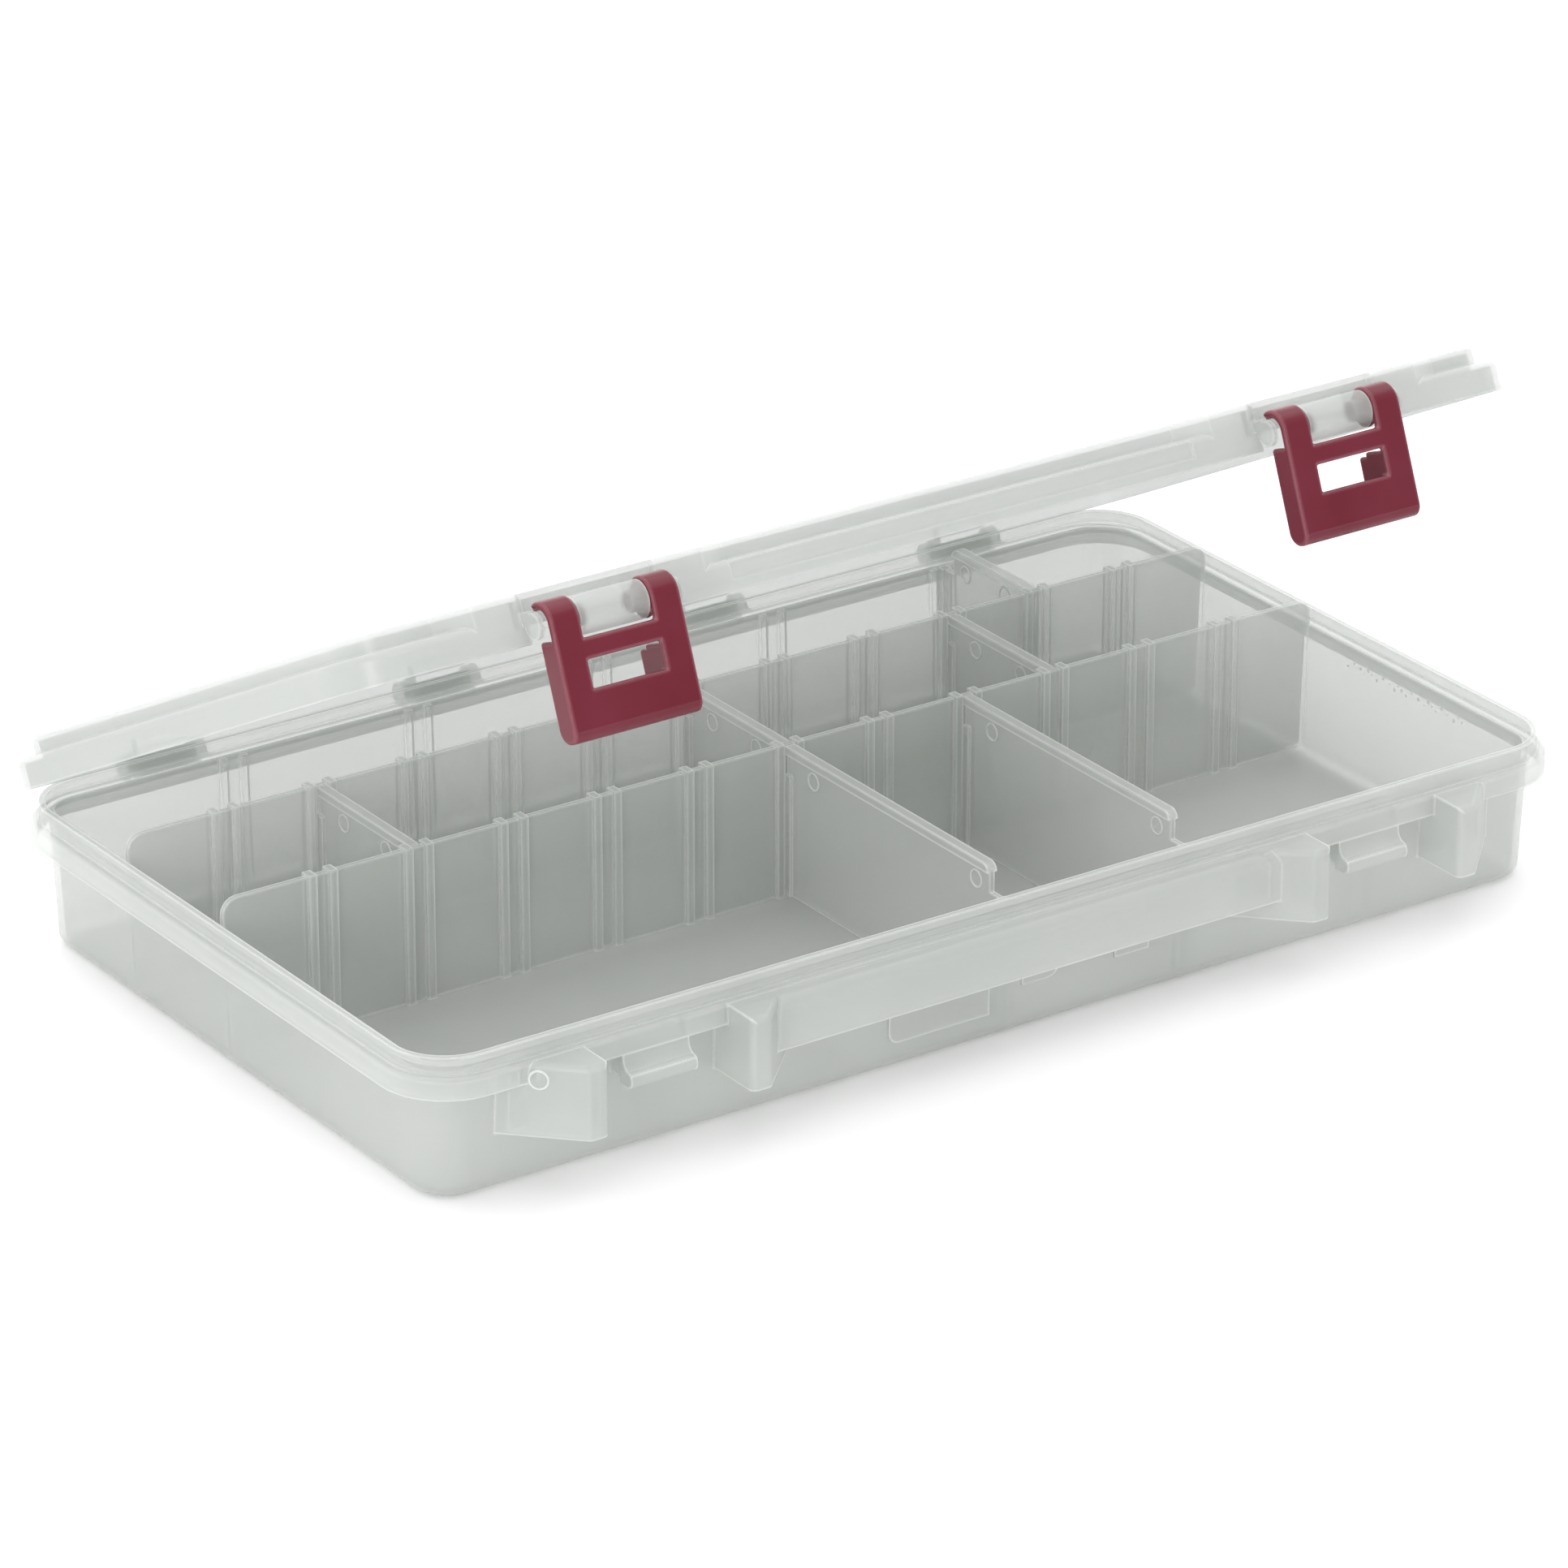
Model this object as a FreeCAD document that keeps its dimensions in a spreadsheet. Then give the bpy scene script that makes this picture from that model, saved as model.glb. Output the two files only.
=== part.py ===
"""Shallow tackle box: one moulded tray, a hinged lid, two latches and lift-out dividers.

Frame: X along the length, -Y to the handle side, +Z up, origin on the table under the
middle of the tray.  Millimetres and degrees.  The lid stands part open, which is the
stored position, and everything on it is drawn closed first and then swung up.
"""
import FreeCAD, Part
import os

# ---------------------------------------------------------------- driving dimensions
SIZES = (
    # tray shell
    ("box_length", 355.6),       # across the outside of the rim bead
    ("box_depth", 202.2),
    ("bead_proud", 2.3),         # bead stands this far outside the upright lip
    ("wall_set_in", 3.3),        # wall top inside the lip's outer face
    ("wall_draft", 1.2),         # further inset of the wall at the bottom
    ("rim_height", 40),
    ("bead_top", 35.3),
    ("ledge_height", 37.1),      # top of the wall, and of the ledge from it out to the lip
    ("ledge_skin", 1.7),
    ("bead_low", 29.5),
    ("skin", 1.6),
    ("floor_skin", 1.8),
    ("rim_corner", 18.6),        # plan radius at the outside of the bead
    ("wall_corner", 10.4),
    ("base_edge", 3),
    ("bead_edge", 1.4),
    # fixed lengthwise walls and the slots for the dividers
    ("front_row_wall", 3.6),     # Y of the wall behind the front row
    ("back_row_wall", 50.3),     # Y of the wall in front of the back row
    ("row_wall_top", 44.4),
    ("row_wall_end", 4.5),
    ("slot_pitch", 28.4),
    ("slot_gap", 3.8),
    ("rib_width", 2.3),
    ("rib_stand", 1.1),
    ("rib_top", 45),
    ("sink_groove", 0.8),
    # lift-out dividers
    ("divider_skin", 1.5),
    ("divider_edge", 3),
    ("divider_bead", 2.4),
    ("divider_gap", 0.35),
    ("divider_foot", 1.6),       # radius of the lower corners, clear of the tray's own
    ("divider_cut", 6.2),        # step back of the top at an outer wall
    ("divider_corner", 2.5),     # radius of the stepped corner
    # latch, catch, guard and handle
    ("latch_x", 110.3),
    ("latch_half", 18.5),
    ("latch_front", 5.6),        # pivot axis to the outer face
    ("latch_skin", 2.1),
    ("latch_side", 1.9),
    ("latch_deep", 7.4),
    ("latch_down", 29.8),        # pivot axis to the lower end
    ("flange_top", 4.4),
    ("arm_inner", 10.3),
    ("bar_top", 5.2),
    ("window_top", 10.5),
    ("window_low", 17.6),
    ("hook_top", 19),            # pivot axis to the top of the hook's shelf
    ("cheek_deep", 3),           # the cheeks beside the window end this far behind the axis,
    ("cheek_back", 6),           # and this far below the rim's bead
    ("cheek_drop", 0.8),         # below the window's top, to pass under the bead when shut
    ("window_half", 10.5),
    ("hook_tip", 1.2),
    ("pivot_y", -105.7),
    ("pivot_z", 39.7),
    ("barrel_radius", 5),
    ("barrel_half", 10),
    ("peg_radius", 2.8),
    ("peg_play", 0.05),
    ("peg_long", 3.4),
    ("catch_half", 9.75),
    ("catch_round", 2.2),
    ("catch_y", -102.2),
    ("catch_z", 23.2),
    ("catch_plate", -100.5),     # Y of the front of the catch's plate
    ("grip_front", 111.8),       # guards and handle brackets reach this far forward
    ("grip_top", 34.9),
    ("grip_low", 15.2),
    ("grip_sweep", 17),          # how far a sloping side runs along X, and back
    ("guard_near", 131.2),
    ("guard_flat", 136.8),
    ("bracket_near", 89.5),
    ("bracket_flat", 84),
    ("bar_front", 105.7),
    ("bar_half", 78.2),
    ("bar_low", 20.6),
    ("bar_skin", 2),
    # lid
    ("lid_low", 35.6),
    ("lid_shoulder", 43.7),
    ("lid_top", 48.4),
    ("lid_skin", 1.5),
    ("panel_inset", 5),
    ("recess_half", 19.1),
    ("block_half", 33),          # the lid is at its full height this far each side of a latch
    ("block_ramp", 9),           # and then slopes back to the panel
    ("groove_low", 38.6),        # shallow groove along the skirt between the latches
    ("groove_top", 43),
    ("groove_deep", 0.5),
    ("cheek_radius", 3.4),
    ("lid_angle", 27.7),         # stored position of the lid, from closed
    ("latch_lean", 6),           # stored lean of a latch, from square to the lid
    # hinge
    ("hinge_y", 106),
    ("hinge_z", 35),
    ("hinge_pin", 1.9),
    ("hinge_play", 0.05),
    ("hinge_ring", 3.8),
    ("hinge_half", 9),
    ("hinge_lug", 3),
)
SLOTS = range(-5, 6)                       # slot numbers along X, slot 0 in the middle
HINGES = (-128, -43, 43, 128)              # X of the hinge loops
DIVIDERS = (                               # name, row, slot number
    ("divider_front_centre", "front", 0),
    ("divider_front_right", "front", 2),
    ("divider_middle_left", "middle", -4),
    ("divider_middle_centre", "middle", 0),
    ("divider_middle_right", "middle", 3),
    ("divider_back_right", "back", 4),
)
OVERLAP = 0.5                              # how far joined solids run into each other
BEYOND = 5                                 # how far a cutting solid runs past a face

doc = FreeCAD.newDocument("tackle_box")
sheet = doc.addObject("Spreadsheet::Sheet", "Size")
for row, (alias, value) in enumerate(SIZES, start=1):
    sheet.set(f"A{row}", alias)
    sheet.set(f"B{row}", str(value))
    sheet.setAlias(f"B{row}", alias)
doc.recompute()
size = dict(SIZES)


# ---------------------------------------------------------------- small building functions
def bound(text):
    """An expression with every sheet alias written as a reference to its cell."""
    words = str(text).replace("(", " ( ").replace(")", " ) ").split()
    return " ".join(f"Size.{word}" if word in size else word for word in words)


def box(name, x, y, z):
    """A box between two expressions along each axis."""
    part = doc.addObject("Part::Box", name)
    for side, axis, (low, high) in (("Length", "x", x), ("Width", "y", y), ("Height", "z", z)):
        part.setExpression(side, f"({bound(high)}) - ({bound(low)})")
        part.setExpression(f"Placement.Base.{axis}", bound(low))
    return part


def rod(name, radius, x, y, z):
    """A round bar along X, between the two expressions in x."""
    part = doc.addObject("Part::Cylinder", name)
    part.Placement.Rotation = FreeCAD.Rotation(FreeCAD.Vector(0, 1, 0), 90)
    part.setExpression("Radius", bound(radius))
    part.setExpression("Height", f"({bound(x[1])}) - ({bound(x[0])})")
    part.setExpression("Placement.Base.x", bound(x[0]))
    part.setExpression("Placement.Base.y", bound(y))
    part.setExpression("Placement.Base.z", bound(z))
    return part


def taper(name, low, high, z):
    """A block whose plan goes from low to high, each ((x0, x1), (y0, y1)), between the z's."""
    part = doc.addObject("Part::Wedge", name)
    part.Placement.Rotation = FreeCAD.Rotation(FreeCAD.Vector(1, 0, 0), 90)
    for key, text in (("Ymin", z[0]), ("Ymax", z[1]), ("Xmin", low[0][0]), ("Xmax", low[0][1]),
                      ("X2min", high[0][0]), ("X2max", high[0][1])):
        part.setExpression(key, bound(text))
    for key, text in (("Zmin", low[1][1]), ("Zmax", low[1][0]),
                      ("Z2min", high[1][1]), ("Z2max", high[1][0])):
        part.setExpression(key, f"0 - ({bound(text)})")
    return part


def swept_back(name, near, far, y_near, y_far, z):
    """A block along X from near to far, with its Y range changing on the way."""
    part = doc.addObject("Part::Wedge", name)
    part.Placement.Rotation = FreeCAD.Rotation(FreeCAD.Vector(0, 0, 1), -90)
    for key, text in (("Ymin", near), ("Ymax", far), ("Zmin", z[0]), ("Zmax", z[1]),
                      ("Z2min", z[0]), ("Z2max", z[1])):
        part.setExpression(key, bound(text))
    for key, text in (("Xmin", y_near[1]), ("Xmax", y_near[0]),
                      ("X2min", y_far[1]), ("X2max", y_far[0])):
        part.setExpression(key, f"0 - ({bound(text)})")
    return part


def fuse(name, *parts):
    part = doc.addObject("Part::MultiFuse", name)
    part.Shapes = list(parts)
    part.Refine = True
    return part


def cut(name, base, tool):
    part = doc.addObject("Part::Cut", name)
    part.Base = base
    part.Tool = tool
    return part


def mirrored(name, source):
    """The same solid on the other side of the middle of the length."""
    part = doc.addObject("Part::Mirroring", name)
    part.Source = source
    part.Normal = FreeCAD.Vector(1, 0, 0)
    return part


def rounded(name, base, radius, wanted):
    """Round the edges that wanted() picks."""
    doc.recompute()
    part = doc.addObject("Part::Fillet", name)
    part.Base = base
    part.Edges = [(number, radius, radius)
                  for number, edge in enumerate(base.Shape.Edges, start=1) if wanted(edge)]
    return part


def span(edge, axis):
    """How far an edge runs along an axis."""
    return getattr(edge.BoundBox, axis.upper() + "Length")


def upright(edge):
    return span(edge, "z") > 1 and edge.BoundBox.XLength < 4 and edge.BoundBox.YLength < 4


def level_at(height):
    """Picks the edges that lie at one height."""
    return lambda edge: (span(edge, "z") < 1e-3 and abs(edge.BoundBox.ZMin - height) < 1e-3)


def rounded_block(name, half_x, half_y, z, radius):
    """A box about the middle of the tray with rounded corners in plan."""
    block = box(name + "_block", (f"0 - ({half_x})", half_x), (f"0 - ({half_y})", half_y), z)
    return rounded(name, block, radius, upright)


# ---------------------------------------------------------------- tray
BEAD_X, BEAD_Y = "box_length / 2", "box_depth / 2"
LIP_X, LIP_Y = f"{BEAD_X} - bead_proud", f"{BEAD_Y} - bead_proud"
WALL_X, WALL_Y = f"{LIP_X} - wall_set_in", f"{LIP_Y} - wall_set_in"


def shell_block(name, inset, z_low, corner):
    """The tapered body of the tray, inset all round by a skin."""
    top = (f"{WALL_X} - {inset}", f"{WALL_Y} - {inset}")
    low = (f"{top[0]} - wall_draft", f"{top[1]} - wall_draft")
    plan = [((f"0 - ({half[0]})", half[0]), (f"0 - ({half[1]})", half[1])) for half in (low, top)]
    block = taper(name + "_block", plan[0], plan[1], (z_low, "ledge_height"))
    corners = rounded(name + "_corners", block, corner, upright)
    base = size["floor_skin"] if z_low != "0" else 0
    edge = size["base_edge"] - (size["skin"] if z_low != "0" else 0)
    return rounded(name, corners, edge, level_at(base))


def tray_shell():
    body = shell_block("body", "0", "0", size["wall_corner"])
    cavity = shell_block("cavity", "skin", "floor_skin", size["wall_corner"] - size["skin"])
    bead = rounded_block("bead", BEAD_X, BEAD_Y, ("bead_low", "bead_top"), size["rim_corner"])
    bead = rounded("bead_soft", bead, size["bead_edge"], level_at(size["bead_top"]))
    bead_void = rounded_block("bead_void", f"{BEAD_X} - skin", f"{BEAD_Y} - skin",
                              (f"bead_low - {BEYOND}", "bead_top - ledge_skin"),
                              size["rim_corner"] - size["skin"])
    lip_corner = size["rim_corner"] - size["bead_proud"]
    lip = rounded_block("lip", LIP_X, LIP_Y, ("bead_top - ledge_skin / 2", "rim_height"),
                        lip_corner)
    inside_lip = (f"{LIP_X} - skin", f"{LIP_Y} - skin")
    under_ledge = rounded_block("under_ledge", *inside_lip,
                                (f"bead_low - 2 * {BEYOND}", "ledge_height - ledge_skin"),
                                lip_corner - size["skin"])
    above_ledge = rounded_block("above_ledge", *inside_lip,
                                ("ledge_height", f"rim_height + {BEYOND}"),
                                lip_corner - size["skin"])
    rim = cut("rim", fuse("rim_solid", cut("bead_skirt", bead, bead_void), lip), under_ledge)
    outside = fuse("outside", body, rim)
    return cut("shell", cut("shell_open", outside, cavity), above_ledge)


def row_wall(name, y):
    """A fixed lengthwise wall: tapered ends in the end walls, rounded ends above the ledge."""
    thick = (f"{y} - skin / 2", f"{y} + skin / 2")
    low_half = f"{WALL_X} - wall_draft - skin / 2"
    top_half = f"{WALL_X} - skin / 2"
    lower = taper(name + "_lower", ((f"0 - ({low_half})", low_half), thick),
                  ((f"0 - ({top_half})", top_half), thick), ("floor_skin / 2", "ledge_height"))
    reach = f"{WALL_X} - skin + 0.2"
    upper = box(name + "_upper", (f"0 - ({reach})", reach), thick,
                (f"ledge_height - {OVERLAP}", "row_wall_top"))
    soft = rounded(name + "_ends", upper, size["row_wall_end"],
                   lambda edge: span(edge, "y") > 1 and edge.BoundBox.ZMin > size["rim_height"])
    return [lower, soft]


def slot_ribs():
    """Pairs of ribs that hold the divider ends: the outer walls have every second slot."""
    ribs = []
    for slot in SLOTS:
        for side in (-1, 1):
            middle = f"slot_pitch * {slot} + {side} * (slot_gap + rib_width) / 2"
            x = (f"{middle} - rib_width / 2", f"{middle} + rib_width / 2")
            tag = f"{slot + 5}_{side + 1}"
            for wall in ("front_row_wall", "back_row_wall"):
                y = (f"{wall} - skin / 2 - rib_stand", f"{wall} + skin / 2 + rib_stand")
                ribs.append(box(f"rib_{wall}_{tag}", x, y, ("floor_skin / 2", "rib_top")))
            if slot % 2:
                continue
            outer, inner = f"{WALL_Y} - skin / 2", f"{WALL_Y} - skin - rib_stand"
            for name, sign in (("front", "0 - 1"), ("back", "1")):
                top = (f"({sign}) * ({outer})", f"({sign}) * ({inner})")
                low = (f"({sign}) * ({outer} - wall_draft)", f"({sign}) * ({inner} - wall_draft)")
                if sign == "1":
                    top, low = top[::-1], low[::-1]
                ribs.append(taper(f"rib_{name}_{tag}", (x, low), (x, top),
                                  ("floor_skin / 2", "ledge_height - ledge_skin / 2")))
    return ribs


def catch():
    """The left latch catch: a hanging plate with a round lip along its lower edge."""
    x = ("0 - latch_x - catch_half", "0 - latch_x + catch_half")
    plate = box("catch_plate_solid", x, ("catch_plate", "catch_plate + bar_skin"),
                ("catch_z - catch_round", "grip_top"))
    lip = rod("catch_lip", "catch_round", x, "catch_y", "catch_z")
    behind = box("catch_lip_back", x, ("catch_y", f"catch_plate + {OVERLAP}"),
                 ("catch_z - catch_round", "catch_z"))
    sweep = cut("catch_sweep", box("catch_sweep_solid", x,
                                   ("catch_plate - 3.4", f"catch_plate + {OVERLAP}"),
                                   ("catch_z + 1", "catch_z + 5.2")),
                rod("catch_sweep_void", "3.4", (f"{x[0]} - 1", f"{x[1]} + 1"),
                    "catch_plate - 3.4", "catch_z + 5.2"))
    cheeks = [box(f"catch_cheek_{n}", edge, ("catch_plate", f"0 - ({WALL_Y}) + skin / 2"),
                  ("catch_z - 0.2", "bead_top - ledge_skin / 2"))
              for n, edge in enumerate(((x[0], x[0] + " + skin"), (x[1] + " - skin", x[1])))]
    return [plate, lip, behind, sweep] + cheeks


def grip_block(name, flat, slope_side, inset):
    """A block on the front wall: flat over one X range, with one side sloping back at 45.

    An inset of a skin gives the hollow that leaves that skin all round.
    """
    front = f"{inset} - grip_front"
    back, z = f"0 - ({WALL_Y}) + skin / 2", ("grip_low", "grip_top")
    if inset != "0":
        back, z = f"0 - ({WALL_Y}) - 0.4", (f"grip_low - {BEYOND}", f"grip_top - {inset}")
    run = f"grip_sweep - 1.7 * {inset}"
    if slope_side < 0:
        turn = f"{flat[0]} + 0.4 * {inset}"
        x = (turn, f"{flat[1]} - {inset}")
        slope = swept_back(name + "_slope", f"{turn} - ({run})", turn,
                           (f"{front} + {run}", back), (front, back), z)
    else:
        turn = f"{flat[1]} - 0.4 * {inset}"
        x = (f"{flat[0]} + {inset}", turn)
        slope = swept_back(name + "_slope", turn, f"{turn} + {run}",
                           (front, back), (f"{front} + {run}", back), z)
    return fuse(name, box(name + "_flat", x, (front, back), z), slope)


def grip_edge(edge):
    """Picks the upper front edges of a grip block and its upright front corners."""
    at_front = edge.BoundBox.YMin < 1 - size["grip_front"]
    at_top = level_at(size["grip_top"])(edge) and span(edge, "x") > 1
    return at_front and (at_top or span(edge, "z") > 5)


def grip_hollow(name, flat, slope_side):
    """A grip block with rounded edges, hollow and open below."""
    soft = rounded(name + "_soft", grip_block(name + "_outer", flat, slope_side, "0"), 1.8,
                   grip_edge)
    return cut(name, soft, grip_block(name + "_inner", flat, slope_side, "skin"))


def long_upper_front(edge):
    return span(edge, "x") > 50 and edge.BoundBox.YMax < -103 and edge.BoundBox.ZMin > 30


def handle_bar():
    """The grip between the brackets: a roof from the bead and a hanging front plate."""
    x = ("0 - bar_half", "bar_half")
    block = box("bar_block", x, ("0 - bar_front", f"0 - ({BEAD_Y}) + {OVERLAP}"),
                ("bar_low", "grip_top"))
    soft = rounded("bar_soft", block, 4.5, long_upper_front)
    hollow = box("bar_hollow", (f"{x[0]} - 1", f"{x[1]} + 1"),
                 ("bar_skin - bar_front", f"0 - ({BEAD_Y}) + {OVERLAP} + 1"),
                 (f"bar_low - {BEYOND}", "grip_top - bar_skin"))
    hollow_soft = rounded("bar_hollow_soft", hollow, 2.5, long_upper_front)
    return cut("handle_bar", soft, hollow_soft)


def hinge_lugs(number, x):
    """Two ears on the back of the bead with a moulded pin between them."""
    pieces = [rod(f"hinge_pin_{number}", "hinge_pin",
                  (f"{x} - hinge_half - hinge_lug", f"{x} + hinge_half + hinge_lug"),
                  "hinge_y", "hinge_z")]
    for side in (-1, 1):
        low = f"{x} + {side} * (hinge_half + hinge_lug / 2) - hinge_lug / 2"
        ear = (low, f"{low} + hinge_lug")
        pieces.append(rod(f"hinge_ear_{number}_{side + 1}", "hinge_pin + 1.3", ear,
                          "hinge_y", "hinge_z"))
        pieces.append(box(f"hinge_web_{number}_{side + 1}", ear,
                          (f"{BEAD_Y} - skin / 2", "hinge_y"),
                          ("hinge_z - hinge_pin - 1.3", "hinge_z + 0.2")))
    return pieces


def sink_grooves():
    """Shallow grooves under the row walls, where the moulding is cored."""
    grooves = []
    for wall in ("front_row_wall", "back_row_wall"):
        grooves.append(box(f"groove_{wall}", (f"0 - ({WALL_X})", WALL_X),
                           (f"{wall} - 1.5", f"{wall} + 1.5"), (f"0 - {BEYOND}", "sink_groove")))
    return fuse("grooves", *grooves)


def make_tray():
    pieces = [tray_shell(), handle_bar()]
    pieces += row_wall("front_row", "front_row_wall") + row_wall("back_row", "back_row_wall")
    pieces += slot_ribs()
    guard = grip_hollow("guard", ("0 - guard_flat", "0 - guard_near"), -1)
    bracket = grip_hollow("bracket", ("0 - bracket_near", "0 - bracket_flat"), 1)
    left = catch() + [guard, bracket]
    pieces += left + [mirrored(part.Name + "_right", part) for part in left]
    for number, x in enumerate(HINGES):
        pieces += hinge_lugs(number, x)
    return cut("tray", fuse("tray_solid", *pieces), sink_grooves())


# ---------------------------------------------------------------- dividers
ROWS = {                                   # Y of the two ends of a row, and which is a wall
    "front": (f"0 - ({WALL_Y}) + skin", "front_row_wall - skin / 2"),
    "middle": ("front_row_wall + skin / 2", "back_row_wall - skin / 2"),
    "back": ("back_row_wall + skin / 2", f"{WALL_Y} - skin"),
}


def make_divider(name, row, slot):
    """A thin panel with a thicker top edge and thicker ends, which stand in the slots."""
    low, high = (ROWS[row][0] + " + divider_gap", ROWS[row][1] + " - divider_gap")
    draft = ("wall_draft" if row == "front" else "0", "wall_draft" if row == "back" else "0")
    centre = f"slot_pitch * {slot}"
    bottom, top = "floor_skin + 0.3", "row_wall_top"

    def sheet_of(tag, thick, y_low, y_high, z):
        x = (f"{centre} - {thick} / 2", f"{centre} + {thick} / 2")
        return taper(f"{name}_{tag}", (x, y_low), (x, y_high), z)

    foot = (f"{low} + {draft[0]}", f"{high} - {draft[1]}")
    shoulder = "ledge_height - 0.5"
    panel = sheet_of("panel", "divider_skin", foot, (low, high), (bottom, shoulder))
    ends = [sheet_of("end_low", "divider_edge", (foot[0], foot[0] + " + divider_bead"),
                     (low, low + " + divider_bead"), (bottom, shoulder)),
            sheet_of("end_high", "divider_edge", (foot[1] + " - divider_bead", foot[1]),
                     (high + " - divider_bead", high), (bottom, shoulder))]
    cut_low = "divider_cut" if row == "front" else "0"
    cut_high = "divider_cut" if row == "back" else "0"
    stepped = (f"{low} + {cut_low}", f"{high} - {cut_high}")
    upper = sheet_of("upper", "divider_skin", stepped, stepped, (f"{shoulder} - 1", top))
    rail = sheet_of("rail", "divider_edge", stepped, stepped, (f"{top} - divider_bead", top))
    solid = fuse(name + "_solid", panel, upper, rail, *ends)
    cornered = rounded(name + "_foot", solid, size["divider_foot"],
                       lambda edge: span(edge, "x") > 2 and span(edge, "y") < 1e-3
                       and edge.BoundBox.ZMax < size["floor_skin"] + 1)
    if row == "middle":
        return cornered
    outermost = max if row == "back" else min
    doc.recompute()
    top_ends = [edge.BoundBox.YMin for edge in cornered.Shape.Edges
                if span(edge, "x") > 2 and span(edge, "y") < 1e-3
                and abs(edge.BoundBox.ZMax - size["row_wall_top"]) < 1e-3]
    return rounded(name, cornered, size["divider_corner"],
                   lambda edge: span(edge, "x") > 2 and span(edge, "y") < 1e-3
                   and abs(edge.BoundBox.ZMin - size["row_wall_top"]) < 1e-3
                   and edge.BoundBox.YMin == outermost(top_ends))


# ---------------------------------------------------------------- latch
def make_latch(name, sign):
    """An H shaped latch about its pivot: two hooked arms, a bar, a window and a lower tub."""
    wide = ("0 - latch_half", "latch_half")
    tub = box(name + "_tub", wide, ("0 - latch_front", "latch_deep - latch_front"),
              ("0 - latch_down", "0 - flange_top"))
    tub = rounded(name + "_tub_front", tub, 3.2,
                  lambda edge: span(edge, "x") > 30 and edge.BoundBox.ZMax < -29
                  and edge.BoundBox.YMax < -5)
    tub = rounded(name + "_tub_back", tub, 3.8,
                  lambda edge: span(edge, "x") > 30 and edge.BoundBox.ZMax < -29
                  and edge.BoundBox.YMin > 1)
    hollow = box(name + "_hollow", ("latch_side - latch_half", "latch_half - latch_side"),
                 ("latch_skin - latch_front", f"latch_deep + {BEYOND}"),
                 ("latch_side - latch_down", f"{BEYOND} - flange_top"))
    hollow = rounded(name + "_hollow_soft", hollow, 1.8,
                     lambda edge: span(edge, "x") > 30 and edge.BoundBox.ZMax < -27
                     and edge.BoundBox.YMax < 0)
    window = box(name + "_window", ("0 - window_half", "window_half"),
                 (f"0 - latch_front - {BEYOND}", "latch_skin - latch_front + 1"),
                 ("0 - window_low", "0 - window_top"))
    between = box(name + "_between", ("0 - arm_inner", "arm_inner"),
                  (f"0 - latch_front - {BEYOND}", f"latch_deep + {BEYOND}"),
                  ("0 - bar_top", f"{BEYOND} + 10"))
    front = box(name + "_front", wide, ("0 - latch_front", "latch_skin - latch_front"),
                ("0 - flange_top - 1", "0"))
    pieces = [cut(name + "_lower", tub, hollow), front]
    for side in (-1, 1):
        tag = f"{name}_{side + 1}"
        reach = ("arm_inner", "latch_half") if side > 0 else ("0 - latch_half", "0 - arm_inner")
        curl = rod(tag + "_curl", "latch_front", reach, "0", "0")
        curl.setExpression("Angle", "119")
        curl.Placement.Rotation = (FreeCAD.Rotation(FreeCAD.Vector(1, 0, 0), 61 + 90)
                                   .multiply(FreeCAD.Rotation(FreeCAD.Vector(0, 1, 0), 90)))
        bore = rod(tag + "_curl_void", "latch_front - latch_skin",
                   (f"{reach[0]} - 1", f"{reach[1]} + 1"), "0", "0")
        pieces.append(cut(tag + "_arm", curl, bore))
        web = ("arm_inner", "arm_inner + skin") if side > 0 else ("0 - arm_inner - skin",
                                                                 "0 - arm_inner")
        pieces.append(rod(tag + "_web", "latch_front - 0.6", web, "0", "0"))
        peg = (("arm_inner - peg_long", f"arm_inner + {OVERLAP}") if side > 0
               else (f"0 - arm_inner - {OVERLAP}", "peg_long - arm_inner"))
        pieces.append(rod(tag + "_peg", "peg_radius", peg, "0", "0"))
        cheek = (("window_half", "window_half + 1.5") if side > 0
                 else ("0 - window_half - 1.5", "0 - window_half"))
        pieces.append(box(tag + "_cheek", cheek,
                          (f"latch_skin - latch_front - {OVERLAP}", "cheek_deep"),
                          ("0 - hook_top - 2", "0 - window_top - cheek_drop")))
        pieces.append(box(tag + "_cheek_back", cheek,
                          (f"cheek_deep - {OVERLAP}", "cheek_back"),
                          ("0 - hook_top - 2", "0 - window_top - 2")))
    shelf = box(name + "_hook", ("0 - window_half", "window_half"),
                (f"latch_skin - latch_front - {OVERLAP}", "0 - hook_tip"),
                ("0 - hook_top - 2", "0 - hook_top"))
    body = cut(name + "_opened", fuse(name + "_solid", pieces[0], front), fuse(
        name + "_openings", window, between))
    latch = fuse(name, body, shelf, *pieces[2:])
    doc.recompute()
    pivot = FreeCAD.Vector(sign * size["latch_x"], size["pivot_y"], size["pivot_z"])
    lean = FreeCAD.Placement(pivot, FreeCAD.Rotation(FreeCAD.Vector(1, 0, 0), size["latch_lean"]))
    return latch, lean


# ---------------------------------------------------------------- lid
def latch_block(name, inset, z):
    """The full-height block about the left latch, with a sloping end on each side."""
    x = ("0 - latch_x - block_half", "block_half - latch_x")
    front = f"{inset} - ({BEAD_Y})"
    side = f"{inset} + panel_inset - ({BEAD_Y})"
    back = f"{side} + lid_skin"
    flat = box(name + "_flat", x, (front, back), z)
    ramps = [swept_back(name + "_outer_ramp", f"{x[0]} - block_ramp", x[0],
                        (side, back), (front, back), z),
             swept_back(name + "_inner_ramp", x[1], f"{x[1]} + block_ramp",
                        (front, back), (side, back), z)]
    return fuse(name, flat, *ramps)


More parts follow.
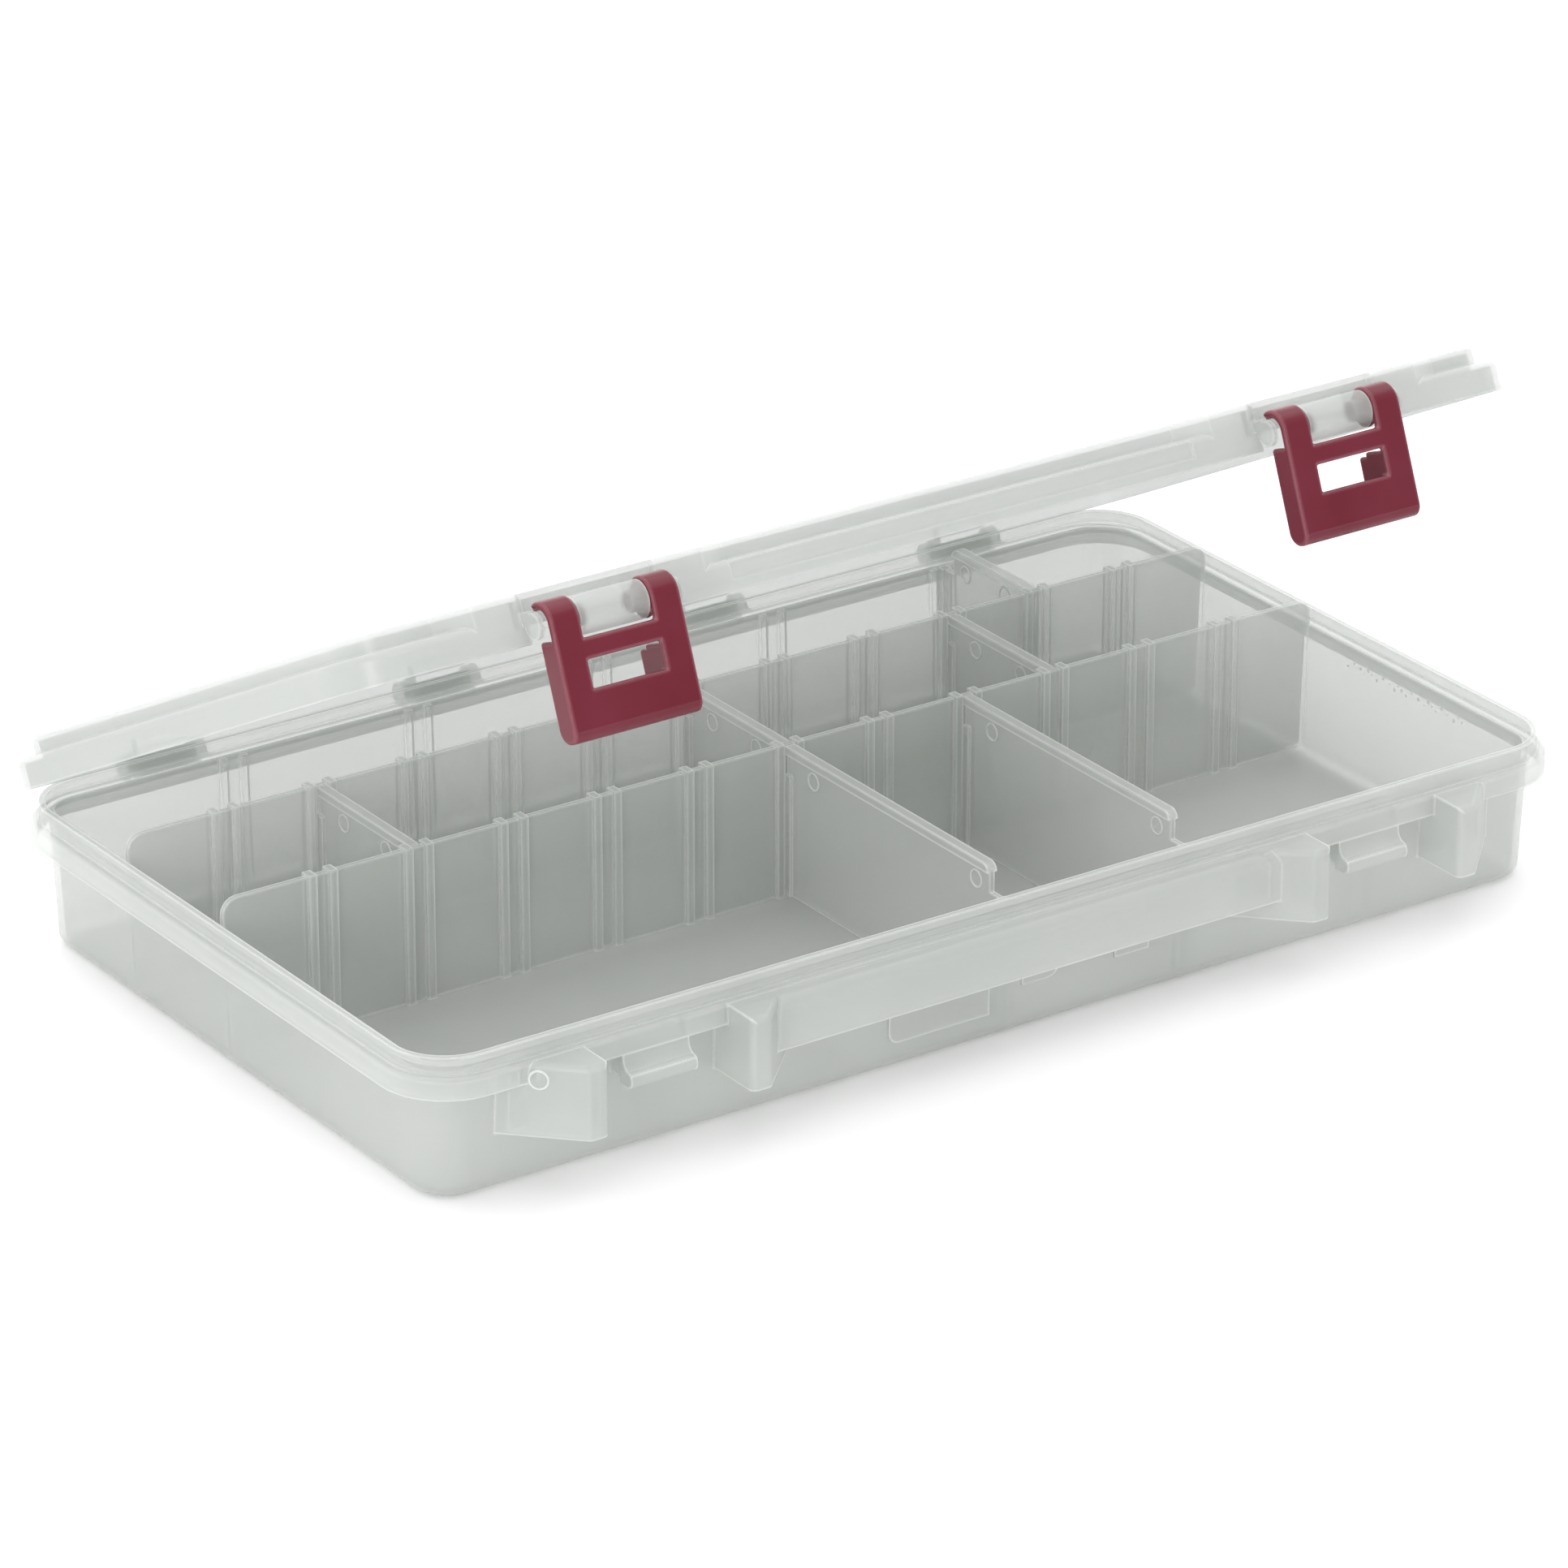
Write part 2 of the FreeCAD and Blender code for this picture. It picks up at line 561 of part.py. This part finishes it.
def lid_shell():
    panel_x, panel_y = f"{BEAD_X} - panel_inset", f"{BEAD_Y} - panel_inset"
    corner = size["rim_corner"]
    inset = size["panel_inset"]
    skin = size["lid_skin"]
    skirt = rounded_block("skirt", BEAD_X, BEAD_Y, ("lid_low", "lid_shoulder"), corner)
    skirt = rounded("skirt_soft", skirt, 2.2, level_at(size["lid_shoulder"]))
    panel = rounded_block("panel", panel_x, panel_y,
                          ("lid_shoulder - lid_skin", "lid_top"), corner - inset)
    block = latch_block("block", "0", ("lid_shoulder - 2.4", "lid_top"))
    panel = fuse("panel_blocks", panel, block, mirrored("block_right", block))
    panel = rounded("panel_soft", panel, 1.2, level_at(size["lid_top"]))
    skirt_void = rounded_block("skirt_void", f"{BEAD_X} - lid_skin", f"{BEAD_Y} - lid_skin",
                               (f"lid_low - {BEYOND}", "lid_shoulder - lid_skin"), corner - skin)
    panel_void = rounded_block("panel_void", f"{panel_x} - lid_skin", f"{panel_y} - lid_skin",
                               ("lid_shoulder - lid_skin - 1", "lid_top - lid_skin"),
                               corner - inset - skin)
    block_void = latch_block("block_void", "lid_skin",
                             ("lid_shoulder - lid_skin - 1", "lid_top - lid_skin"))
    groove_half = "latch_x - block_half - block_ramp + 2"
    groove = box("skirt_groove", (f"0 - ({groove_half})", groove_half),
                 (f"0 - ({BEAD_Y}) - 1", f"groove_deep - ({BEAD_Y})"), ("groove_low", "groove_top"))
    return cut("lid_shell", fuse("lid_outside", skirt, panel),
               fuse("lid_inside", skirt_void, panel_void, block_void,
                    mirrored("block_void_right", block_void), groove))


def latch_seat():
    """The left latch seat on the lid: what is taken out, and what is put in."""
    lip_front = f"0 - ({LIP_Y})"
    x = ("0 - latch_x - recess_half", "0 - latch_x + recess_half")
    notch = box("seat_notch", x, (f"0 - ({BEAD_Y}) - 1", lip_front),
                (f"lid_low - {BEYOND}", f"lid_top + {BEYOND}"))
    wall = box("seat_wall", (f"{x[0]} - lid_skin", f"{x[1]} + lid_skin"),
               (lip_front, f"{lip_front} + lid_skin"), ("rim_height + 0.4", "lid_top - lid_skin / 2"))
    added = [wall]
    for n, edge in enumerate(((f"{x[0]} - lid_skin", x[0]), (x[1], f"{x[1]} + lid_skin"))):
        added.append(rod(f"seat_cheek_{n}", "cheek_radius", edge, "pivot_y", "pivot_z"))
        added.append(box(f"seat_web_{n}", edge, ("pivot_y", f"{lip_front} + lid_skin"),
                         ("rim_height + 0.4", "lid_shoulder")))
        added.append(box(f"seat_side_{n}", edge,
                         (f"lid_skin / 2 - ({BEAD_Y})", f"{lip_front} + lid_skin"),
                         ("lid_shoulder - 1", "lid_top - lid_skin / 2")))
    across = ("0 - latch_x - barrel_half", "0 - latch_x + barrel_half")
    barrel = rod("barrel", "barrel_radius", across, "pivot_y", "pivot_z")
    bridge = box("barrel_bridge", across, ("pivot_y", f"{lip_front} + lid_skin / 2"),
                 ("rim_height + 0.4", "pivot_z + barrel_radius"))
    solid = fuse("barrel_solid", barrel, bridge)
    bores = [rod(f"barrel_bore_{n}", "peg_radius + peg_play", edge, "pivot_y", "pivot_z")
             for n, edge in enumerate(((f"{across[0]} - 1", f"{across[0]} + peg_long + 0.2"),
                                       (f"{across[1]} - peg_long - 0.2", f"{across[1]} + 1")))]
    added.append(cut("barrel_bored", solid, fuse("barrel_bores", *bores)))
    return notch, added


def hinge_loop(number, x):
    """A loop on the lid that snaps over a hinge pin, with a web up to the skirt."""
    across = (f"{x} - hinge_half + 0.6", f"{x} + hinge_half - 0.6")
    ring = rod(f"loop_{number}", "hinge_ring", across, "hinge_y", "hinge_z")
    web = box(f"loop_web_{number}", across, (f"{BEAD_Y} - lid_skin / 2", "hinge_y - 1.9"),
              ("hinge_z + 1.6", "lid_shoulder - 2.4"))
    wider = (f"{x} - hinge_half", f"{x} + hinge_half")
    eye = rod(f"loop_eye_{number}", "hinge_pin + hinge_play", wider, "hinge_y", "hinge_z")
    mouth = box(f"loop_mouth_{number}", wider, ("hinge_y - 1.5", "hinge_y + 1.5"),
                (f"hinge_z - hinge_ring - {OVERLAP}", "hinge_z"))
    return ring, web, eye, mouth


def make_lid():
    notch, added = latch_seat()
    opened = cut("lid_notched", lid_shell(), fuse("notches", notch, mirrored("notch_right", notch)))
    loops = [hinge_loop(number, x) for number, x in enumerate(HINGES)]
    pieces = [opened] + added + [mirrored(part.Name + "_right", part) for part in added]
    pieces += [part for ring, web, eye, mouth in loops for part in (ring, web)]
    holes = [part for ring, web, eye, mouth in loops for part in (eye, mouth)]
    return cut("lid", fuse("lid_solid", *pieces), fuse("hinge_eyes", *holes))


# ---------------------------------------------------------------- assembly and output
HINGE = FreeCAD.Vector(0, size["hinge_y"], size["hinge_z"])
OPENED = (FreeCAD.Placement(HINGE, FreeCAD.Rotation(FreeCAD.Vector(1, 0, 0), -size["lid_angle"]))
          .multiply(FreeCAD.Placement(-HINGE, FreeCAD.Rotation())))

nodes = {"tray": make_tray()}
for name, row, slot in DIVIDERS:
    nodes[name] = make_divider(name, row, slot)
nodes["lid"] = make_lid()
nodes["lid"].Placement = OPENED
for name, sign in (("latch_left", -1), ("latch_right", 1)):
    nodes[name], seat = make_latch(name, sign)
    nodes[name].Placement = OPENED.multiply(seat)

doc.recompute()
failed = [item.Name for item in doc.Objects if {"Invalid", "Error"} & set(item.State)]
if failed:
    raise SystemExit(f"failed objects: {failed}")
os.makedirs("parts", exist_ok=True)
for name, item in nodes.items():
    item.Label = name
    shape = item.Shape
    if shape.isNull() or not shape.isValid() or len(shape.Solids) != 1:
        raise SystemExit(f"{name} is not one sound solid: {len(shape.Solids)} solids")
    shape.exportStep(f"parts/{name}.step")
    print(name, round(shape.Volume / 1000, 2), "cm3")
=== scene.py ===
"""Look of the tackle box: frosted tray, lid and dividers, and gloss red latches."""
import math
import bmesh
import bpy
from mathutils import Matrix, Vector


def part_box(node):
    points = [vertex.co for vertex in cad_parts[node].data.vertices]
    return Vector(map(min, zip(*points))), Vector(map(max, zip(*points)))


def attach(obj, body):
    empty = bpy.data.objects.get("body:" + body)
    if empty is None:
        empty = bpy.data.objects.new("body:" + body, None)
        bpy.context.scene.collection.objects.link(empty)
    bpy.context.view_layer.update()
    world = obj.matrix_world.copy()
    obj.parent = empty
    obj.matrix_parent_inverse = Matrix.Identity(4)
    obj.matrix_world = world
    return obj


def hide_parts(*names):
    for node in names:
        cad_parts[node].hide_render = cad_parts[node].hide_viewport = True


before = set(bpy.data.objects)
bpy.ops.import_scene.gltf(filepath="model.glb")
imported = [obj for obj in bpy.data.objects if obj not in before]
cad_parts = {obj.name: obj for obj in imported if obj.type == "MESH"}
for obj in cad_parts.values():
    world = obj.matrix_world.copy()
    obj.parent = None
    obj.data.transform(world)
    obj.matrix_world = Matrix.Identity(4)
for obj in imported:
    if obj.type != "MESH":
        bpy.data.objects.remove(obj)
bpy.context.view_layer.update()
scene = bpy.context.scene
MM = 0.001

# places on the CAD part
DIVIDER_PANEL = 1.5 * MM                # thickness of a divider
RIGHT_WALL = 170.45 * MM                # inner face of the tray's right-hand wall, under its rim
FRONT_WALL = -94.75 * MM                # outer face of the tray's front wall
GUARD_MARK = (-145.8 * MM, -102.8 * MM, 30.7 * MM)      # on the left guard's sloping side

# small moulded details
MARK_RADIUS, MARK_HEIGHT = 2.3 * MM, 0.2 * MM
GUARD_MARK_RADIUS, GUARD_MARK_HEIGHT = 2.4 * MM, 0.25 * MM
MARK_FROM_END, MARK_FROM_TOP = 12 * MM, 6 * MM
MARK_STEPS = 40
SUNK = 0.1 * MM                         # how far a detail's foot runs into the wall under it
BUBBLES, BUBBLE_PITCH = 24, 2.1
BUBBLE_Y, BUBBLE_Z, BUBBLE_RADIUS = -63.5, 32.2, 0.4
PATCH_PROUD, PATCH_SOFT = 0.4 * MM, 0.15 * MM

# looks
EDGE_RADIUS = 1.1 * MM                  # how far the edge tint reaches from an edge: the painted highlight on the latches, and the whiter painted light along the milky plastic's edges
LATCH_ROUND = 0.75 * MM
RAMP_LOW, RAMP_HIGH = 0.3, 0.7          # stretch of the noise that the tints are spread over

# floor and camera, in metres and degrees
FLOOR_REACH, FLOOR_DROP = 4, 0.0004
AZIMUTH, ELEVATION = -34.46657, 24.08546
LOOK_AT, DISTANCE = (0.040873, 0.064617, 0), 2.21920
SENSOR_WIDTH, LENS = 36, 188.88


# ---------------------------------------------------------------- materials
def new_material(name):
    """A new node material, with its tree and its shader."""
    material = bpy.data.materials.new(name)
    material.use_nodes = True
    tree = material.node_tree
    return material, tree, tree.nodes["Principled BSDF"]


def noise(tree, scale, detail=3.0, roughness=0.5, stretch=None):
    """Noise over the object's own metres, so that it rides with the piece."""
    place = tree.nodes.new("ShaderNodeTexCoord")
    source = place.outputs["Object"]
    if stretch:
        mapping = tree.nodes.new("ShaderNodeMapping")
        mapping.inputs["Scale"].default_value = stretch
        tree.links.new(source, mapping.inputs["Vector"])
        source = mapping.outputs["Vector"]
    node = tree.nodes.new("ShaderNodeTexNoise")
    node.inputs["Scale"].default_value = scale
    node.inputs["Detail"].default_value = detail
    node.inputs["Roughness"].default_value = roughness
    tree.links.new(source, node.inputs["Vector"])
    return node.outputs["Fac"]


def spread(tree, fac, low, high, out_low, out_high):
    """A map of fac from low..high to out_low..out_high, held at the ends."""
    node = tree.nodes.new("ShaderNodeMapRange")
    for key, value in (("From Min", low), ("From Max", high),
                       ("To Min", out_low), ("To Max", out_high)):
        node.inputs[key].default_value = value
    tree.links.new(fac, node.inputs["Value"])
    return node.outputs["Result"]


def tinted(tree, fac, low, high):
    """A colour that goes from low to high with the noise in fac."""
    ramp = tree.nodes.new("ShaderNodeValToRGB")
    ramp.color_ramp.elements[0].position = RAMP_LOW
    ramp.color_ramp.elements[0].color = (*low, 1)
    ramp.color_ramp.elements[1].position = RAMP_HIGH
    ramp.color_ramp.elements[1].color = (*high, 1)
    tree.links.new(fac, ramp.inputs["Fac"])
    return ramp.outputs["Color"]


def bumped(tree, shader, *layers):
    """Adds bump layers, each (height, strength, distance in metres)."""
    normal = None
    for height, strength, distance in layers:
        bump = tree.nodes.new("ShaderNodeBump")
        bump.inputs["Strength"].default_value = strength
        bump.inputs["Distance"].default_value = distance
        tree.links.new(height, bump.inputs["Height"])
        if normal:
            tree.links.new(normal, bump.inputs["Normal"])
        normal = bump.outputs["Normal"]
    tree.links.new(normal, shader.inputs["Normal"])


def edge_mask(tree):
    """1 along the piece's edges and 0 away from them, from how a bevel would turn the surface."""
    bevel = tree.nodes.new("ShaderNodeBevel")
    bevel.samples = 3
    bevel.inputs["Radius"].default_value = EDGE_RADIUS
    facing = tree.nodes.new("ShaderNodeNewGeometry")
    dot = tree.nodes.new("ShaderNodeVectorMath")
    dot.operation = "DOT_PRODUCT"
    tree.links.new(bevel.outputs["Normal"], dot.inputs[0])
    tree.links.new(facing.outputs["Normal"], dot.inputs[1])
    return spread(tree, dot.outputs["Value"], 0.75, 0.99, 1.0, 0.0)


def blended(tree, fac, low, high):
    """The colour socket low where fac is 0, and the colour high where it is 1."""
    mix = tree.nodes.new("ShaderNodeMix")
    mix.data_type = "RGBA"
    tree.links.new(fac, mix.inputs["Factor"])
    tree.links.new(low, mix.inputs[6])
    mix.inputs[7].default_value = (*high, 1)
    return mix.outputs[2]


def frosted(name, low, high, edge, clear, clear_edge, rough_low, rough_high):
    """Milky plastic: faces show what is behind them; edges are more opaque where the plastic is
    thicker, and whiter with painted light that stands for the light the thick plastic scatters
    there.
    """
    material, tree, shader = new_material(name)
    cloud = noise(tree, 12, 1, 0.4)
    thick_edge_painted_light_mask = edge_mask(tree)
    # the whiter edge colour is painted light for the light scattered in the thick plastic; the
    # rise in alpha there is the thicker plastic itself
    tree.links.new(blended(tree, thick_edge_painted_light_mask, tinted(tree, cloud, low, high), edge),
                   shader.inputs["Base Color"])
    tree.links.new(spread(tree, thick_edge_painted_light_mask, 0, 1, clear, clear_edge), shader.inputs["Alpha"])
    smudge = noise(tree, 16, 1, 0.4)
    tree.links.new(spread(tree, smudge, 0.35, 0.7, rough_low, rough_high),
                   shader.inputs["Roughness"])
    shader.inputs["IOR"].default_value = 1.49
    flow = noise(tree, 26, 0, 0.4, (1, 1, 0.35))
    bumped(tree, shader, (flow, 0.15, 1 * MM))
    return material


# the third colour of each look is the painted light along its edges
tray_look = frosted("frosted_tray", (0.625, 0.65, 0.625), (0.66, 0.68, 0.655),
                    (0.84, 0.86, 0.845), 0.42, 0.75, 0.3, 0.42)
lid_look = frosted("frosted_lid", (0.55, 0.575, 0.555), (0.58, 0.605, 0.585),
                   (0.72, 0.745, 0.73), 0.4, 0.6, 0.29, 0.37)
divider_look = frosted("frosted_divider", (0.655, 0.675, 0.655), (0.69, 0.705, 0.685),
                       (0.86, 0.88, 0.865), 0.42, 0.8, 0.3, 0.42)


def red_plastic():
    """Gloss dark red plastic, with a painted highlight along its edges, and slightly wavy."""
    material, tree, shader = new_material("latch_red")
    tone = noise(tree, 40, 2)
    # painted highlight: a pale pinkish tint along every edge, where the glossy rims would catch
    # the light
    painted_edge_highlight = edge_mask(tree)
    tree.links.new(blended(tree, painted_edge_highlight, tinted(tree, tone, (0.145, 0.015, 0.028),
                                               (0.175, 0.024, 0.042)), (0.62, 0.32, 0.36)),
                   shader.inputs["Base Color"])
    rub = noise(tree, 260, 4, 0.65)
    tree.links.new(spread(tree, rub, 0.4, 0.75, 0.16, 0.26), shader.inputs["Roughness"])
    shader.inputs["Specular IOR Level"].default_value = 0.2
    shader.inputs["Coat Weight"].default_value = 0.08
    shader.inputs["Coat Roughness"].default_value = 0.08
    wave = noise(tree, 55, 1)
    peel = noise(tree, 420, 1)
    bumped(tree, shader, (wave, 0.25, 0.6 * MM), (peel, 0.05, 0.1 * MM))
    return material


red_look = red_plastic()
for name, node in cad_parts.items():
    look = red_look
    if name == "tray":
        look = tray_look
    elif name == "lid":
        look = lid_look
    elif name.startswith("divider"):
        look = divider_look
    node.data.materials.clear()
    node.data.materials.append(look)


# ---------------------------------------------------------------- rounded latches
def rounded_latch(name):
    """The latch with its sharp edges rounded, as the moulding's are."""
    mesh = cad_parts[name].data.copy()
    mesh.name = name + "_moulding"
    shape = bmesh.new()
    shape.from_mesh(mesh)
    bmesh.ops.remove_doubles(shape, verts=shape.verts, dist=0.001 * MM)
    bmesh.ops.dissolve_limit(shape, angle_limit=math.radians(0.5), verts=shape.verts,
                             edges=shape.edges)
    for face in shape.faces:
        face.smooth = True
    for edge in shape.edges:
        edge.smooth = True
    shape.to_mesh(mesh)
    shape.free()
    for kept in ("custom_normal", "sharp_face", "sharp_edge"):
        if kept in mesh.attributes:
            mesh.attributes.remove(mesh.attributes[kept])
    piece = bpy.data.objects.new(name + "_moulding", mesh)
    scene.collection.objects.link(piece)
    bevel = piece.modifiers.new("rounded", "BEVEL")
    bevel.width = LATCH_ROUND
    bevel.segments = 3
    bevel.limit_method = "ANGLE"
    bevel.angle_limit = math.radians(35)
    bevel.use_clamp_overlap = False
    piece.modifiers.new("normals", "WEIGHTED_NORMAL").keep_sharp = True
    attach(piece, name)
    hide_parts(name)


for name in ("latch_left", "latch_right"):
    rounded_latch(name)


# ---------------------------------------------------------------- small moulded details
def detail(name, shape, body, slot, look):
    """A finished mesh as a piece that rides on a body."""
    mesh = bpy.data.meshes.new(name)
    bmesh.ops.recalc_face_normals(shape, faces=shape.faces)
    shape.to_mesh(mesh)
    shape.free()
    for face in mesh.polygons:
        face.use_smooth = True
    mesh.materials.append(look)
    piece = bpy.data.objects.new(name, mesh)
    scene.collection.objects.link(piece)
    piece.modifiers.new("normals", "WEIGHTED_NORMAL")
    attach(piece, body)


def ring(shape, centre, out, radius, height):
    """A raised round mark of an ejector pin on a flat face that looks towards out."""
    turn = Vector(out).to_track_quat("Z", "Y")
    profile = ((radius - 0.35 * MM, -SUNK), (radius - 0.25 * MM, height * 0.8),
               (radius, height), (radius + 0.25 * MM, height * 0.8),
               (radius + 0.35 * MM, -SUNK))
    loops = []
    for step in range(MARK_STEPS):
        angle = 2 * math.pi * step / MARK_STEPS
        loops.append([shape.verts.new(Vector(centre) + turn @ Vector(
            (r * math.cos(angle), r * math.sin(angle), h))) for r, h in profile])
    for step in range(MARK_STEPS):
        near, far = loops[step], loops[(step + 1) % MARK_STEPS]
        for n in range(len(profile)):
            m = (n + 1) % len(profile)
            shape.faces.new((near[n], near[m], far[m], far[n]))


def plate(name, outline):
    """A raised patch on the tray's front wall, its outline given in X and Z in millimetres."""
    shape = bmesh.new()
    base = [shape.verts.new((x * MM, FRONT_WALL + SUNK, z * MM)) for x, z in outline]
    front = [shape.verts.new((x * MM, FRONT_WALL - PATCH_PROUD, z * MM)) for x, z in outline]
    face = shape.faces.new(front)
    shape.faces.new(base[::-1])
    for n in range(len(outline)):
        m = (n + 1) % len(outline)
        shape.faces.new((front[n], base[n], base[m], front[m]))
    bmesh.ops.bevel(shape, geom=list(face.edges), offset=PATCH_SOFT, segments=2, profile=0.5,
                    affect="EDGES")
    detail(name, shape, "tray", "frosted_tray", divider_look)


def corner(x, z, radius, start):
    """Points of a rounded corner about a centre, from an angle in degrees on through 90."""
    return [(x + radius * math.cos(math.radians(start + 15 * n)),
             z + radius * math.sin(math.radians(start + 15 * n))) for n in range(7)]


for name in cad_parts:
    if not name.startswith("divider"):
        continue
    low, high = (Vector(end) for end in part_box(name))
    face_x = (low.x + high.x) / 2 - DIVIDER_PANEL / 2
    marks = bmesh.new()
    for y in (low.y + MARK_FROM_END, high.y - MARK_FROM_END):
        ring(marks, (face_x, y, high.z - MARK_FROM_TOP), (-1, 0, 0), MARK_RADIUS, MARK_HEIGHT)
    detail(name + "_ejector_marks", marks, name, "frosted_divider", divider_look)

marks = bmesh.new()
ring(marks, GUARD_MARK, (-1, -1, 0), GUARD_MARK_RADIUS, GUARD_MARK_HEIGHT)
detail("guard_ejector_mark", marks, "tray", "frosted_tray", divider_look)

bubbles = bmesh.new()       # small moulding bubbles in an uneven row along the right-hand wall
for n in range(BUBBLES):
    y = (BUBBLE_Y + BUBBLE_PITCH * n + 0.7 * math.sin(5.3 * n)) * MM
    z = (BUBBLE_Z + 0.9 * math.sin(2.1 * n)) * MM
    radius = (BUBBLE_RADIUS + 0.15 * math.sin(3.7 * n)) * MM
    place = Matrix.Translation((RIGHT_WALL, y, z)) @ Matrix.Diagonal((0.5, 1, 1, 1))
    bmesh.ops.create_icosphere(bubbles, subdivisions=2, radius=radius, matrix=place)
detail("right_wall_bubbles", bubbles, "tray", "frosted_tray", divider_look)

plate("blank_maker_plate",
      corner(-34.2, 9.8, 2.8, 180) + [(-6, 7), (-6, 19), (-37, 19)])
plate("front_wall_band",
      [(4, 12.5), (12, 12.5)] + corner(13.5, 14.5, 1.5, 270)
      + [(33, 14.5), (33, 12.5), (44, 12.5), (44, 19), (4, 19)])


# ---------------------------------------------------------------- floor, light and camera
material, tree, shader = new_material("floor_white")
tone = noise(tree, 6, 3)
tree.links.new(tinted(tree, tone, (0.93, 0.93, 0.93), (0.95, 0.95, 0.95)),
               shader.inputs["Base Color"])
shader.inputs["Roughness"].default_value = 0.8
floor_mesh = bpy.data.meshes.new("floor")
floor_mesh.from_pydata([(-FLOOR_REACH, -FLOOR_REACH, 0), (FLOOR_REACH, -FLOOR_REACH, 0),
                        (FLOOR_REACH, FLOOR_REACH, 0), (-FLOOR_REACH, FLOOR_REACH, 0)],
                       [], [(0, 1, 2, 3)])
floor = bpy.data.objects.new("floor", floor_mesh)
floor.data.materials.append(material)
floor.location.z = -FLOOR_DROP
scene.collection.objects.link(floor)

world = bpy.data.worlds.new("studio")
scene.world = world
world.use_nodes = True
tree = world.node_tree
tree.nodes["Background"].inputs["Color"].default_value = (1, 1, 1, 1)
place = tree.nodes.new("ShaderNodeTexCoord")
toward = tree.nodes.new("ShaderNodeVectorMath")     # the studio is dark behind the camera
toward.operation = "DOT_PRODUCT"
toward.inputs[1].default_value = Vector((0.3, -0.93, 0.2)).normalized()
tree.links.new(place.outputs["Generated"], toward.inputs[0])
level = spread(tree, toward.outputs["Value"], 0.25, 0.85, 1.5, 0.58)
sideways = tree.nodes.new("ShaderNodeVectorMath")   # and darker on the left
sideways.operation = "DOT_PRODUCT"
sideways.inputs[1].default_value = Vector((-0.95, -0.3, 0.0)).normalized()
tree.links.new(place.outputs["Generated"], sideways.inputs[0])
shade = spread(tree, sideways.outputs["Value"], 0.3, 0.9, 1.0, 0.4)
product = tree.nodes.new("ShaderNodeMath")
product.operation = "MULTIPLY"
tree.links.new(level, product.inputs[0])
tree.links.new(shade, product.inputs[1])
tree.links.new(product.outputs["Value"], tree.nodes["Background"].inputs["Strength"])


def area_light(name, energy, size, place, target):
    """A rectangular soft light at a place, turned towards a target."""
    light = bpy.data.lights.new(name, "AREA")
    light.energy = energy
    light.shape = "RECTANGLE"
    light.size, light.size_y = size
    lamp = bpy.data.objects.new(name, light)
    scene.collection.objects.link(lamp)
    lamp.location = place
    lamp.rotation_mode = "QUATERNION"
    lamp.rotation_quaternion = (Vector(target) - Vector(place)).to_track_quat("-Z", "Y")


area_light("top_light", 10, (2.4, 1.8), (0.1, 0.2, 1.6), (0, 0, 0))
area_light("low_light", 1.6, (1.8, 0.2), (0.5, -1.5, 0.12), (0, -0.1, 0.02))
area_light("edge_light", 4, (0.12, 0.6), (-1.15, -0.68, 0.4), (0, 0, 0.08))

azimuth, elevation = math.radians(AZIMUTH), math.radians(ELEVATION)
back = Vector((math.sin(azimuth) * math.cos(elevation),
               -math.cos(azimuth) * math.cos(elevation), math.sin(elevation)))
camera = bpy.data.objects.new("camera", bpy.data.cameras.new("camera"))
scene.collection.objects.link(camera)
camera.location = Vector(LOOK_AT) + back * DISTANCE
camera.rotation_mode = "QUATERNION"
camera.rotation_quaternion = (-back).to_track_quat("-Z", "Y")
camera.data.sensor_width = SENSOR_WIDTH
camera.data.lens = LENS
scene.camera = camera
scene.view_settings.view_transform = "Standard"
scene.cycles.max_bounces = 16
scene.cycles.transparent_max_bounces = 24
